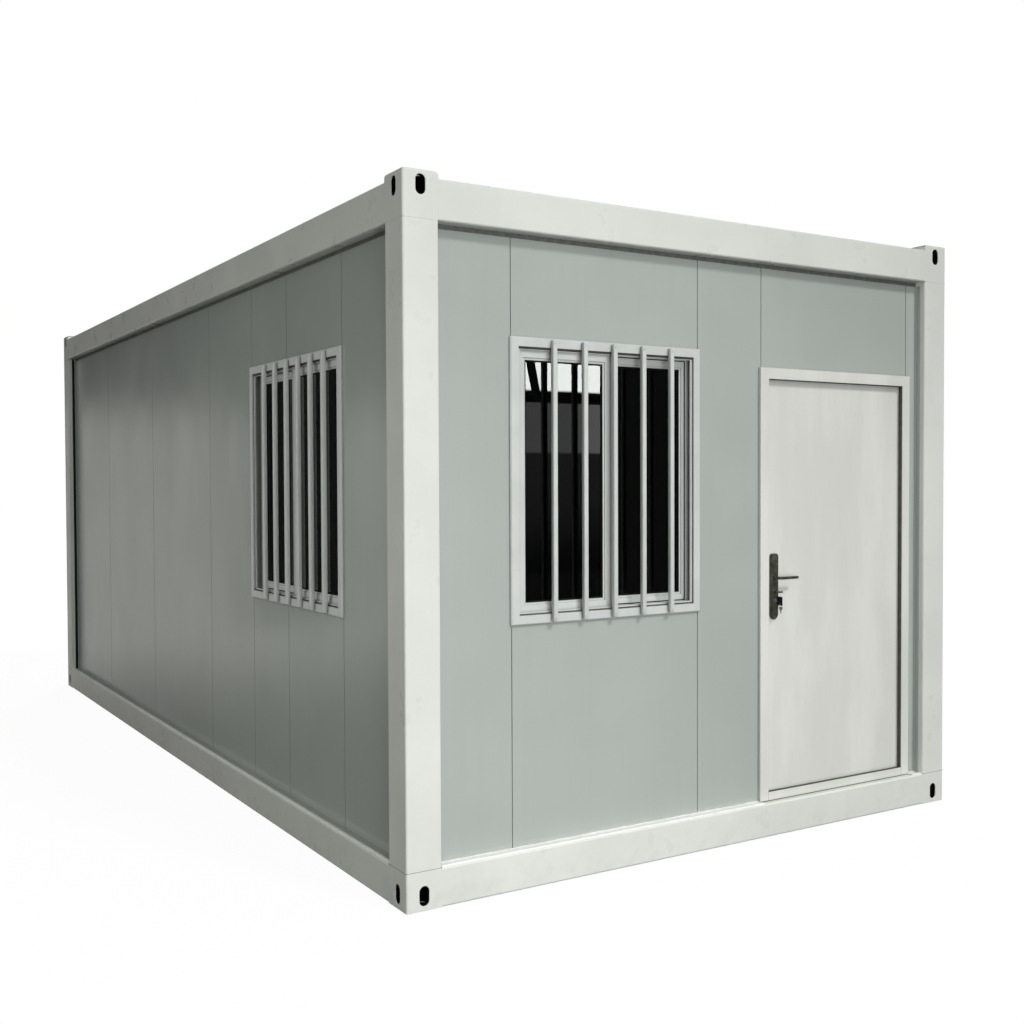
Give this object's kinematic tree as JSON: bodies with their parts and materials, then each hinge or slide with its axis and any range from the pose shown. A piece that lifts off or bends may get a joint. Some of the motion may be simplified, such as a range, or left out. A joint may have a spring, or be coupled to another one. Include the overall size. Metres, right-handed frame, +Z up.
{
  "type": "modular home",
  "caption": "Flat-pack modular home: steel box frame with slotted corner fittings, grey sandwich wall panels, barred sliding windows and an inward-opening entrance door with lever handle.",
  "frame": {"origin": "middle of the footprint, on the ground", "axes": "+Z up; the door wall faces -Y and the long wall with a window faces -X"},
  "size_m": [3, 6, 2.76],
  "materials": {
    "frame_paint": "off-white satin paint",
    "wall_skin": "light grey coated steel sheet, semi-gloss",
    "window_trim": "white, semi-gloss",
    "glass": "dark grey clear glass",
    "door_paint": "off-white satin paint",
    "seal": "matt",
    "bronze": "dark bronze lacquer",
    "zinc": "zinc plated",
    "floor": "grey sheet flooring, satin",
    "ceiling": "white, satin"
  },
  "bodies": {
    "house": {"base_end_beams": "frame_paint", "base_side_beams": "frame_paint", "base_fittings": "frame_paint", "post_front_left": "frame_paint", "post_front_right": "frame_paint", "post_rear_left": "frame_paint", "post_rear_right": "frame_paint", "roof_end_beams": "frame_paint", "roof_side_beams": "frame_paint", "roof_fittings": "frame_paint", "floor_joists": "zinc", "floor_board": "floor", "ceiling_board": "ceiling", "roof_purlins": "zinc", "roof_sheet": "frame_paint", "front_panel_left": "wall_skin", "front_panel_under_window": "wall_skin", "front_panel_over_window": "wall_skin", "front_panel_middle": "wall_skin", "front_panel_over_door": "wall_skin", "front_panel_right": "wall_skin", "left_panel_front": "wall_skin", "left_panels_under_window": "wall_skin", "left_panels_over_window": "wall_skin", "left_panels_rear": "wall_skin", "rear_panels": "wall_skin", "right_panels": "wall_skin", "wall_head_seals": "seal", "wall_edge_angles": "wall_skin", "wall_foot_flashings": "wall_skin", "front_window_frame": "window_trim", "front_sash_outer": "window_trim", "front_sash_inner": "window_trim", "front_window_glass": "glass", "left_window_frame": "window_trim", "left_sash_outer": "window_trim", "left_sash_inner": "window_trim", "left_window_glass": "glass", "door_frame": "door_paint", "frame_hinges": "zinc"},
    "door": {"door_leaf": "door_paint", "leaf_hinges": "zinc", "handle_plates": "bronze", "lock_cylinder": "zinc"},
    "lever": {"lever_handle": "bronze"}
  },
  "joints": [
    {"name": "door_swing", "type": "hinge", "parent": "house", "child": "door", "pos_m": [1.2465, -2.883, 1.127], "axis": [0, 0, -1], "range_deg": [0, 90]},
    {"name": "lever_turn", "type": "hinge", "parent": "door", "child": "lever", "pos_m": [0.402, -2.9175, 1.163], "axis": [0, 1, 0], "range_deg": [0, 45], "stiffness_Nm_per_rad": 1.5, "springref_deg": -28.65}
  ]
}
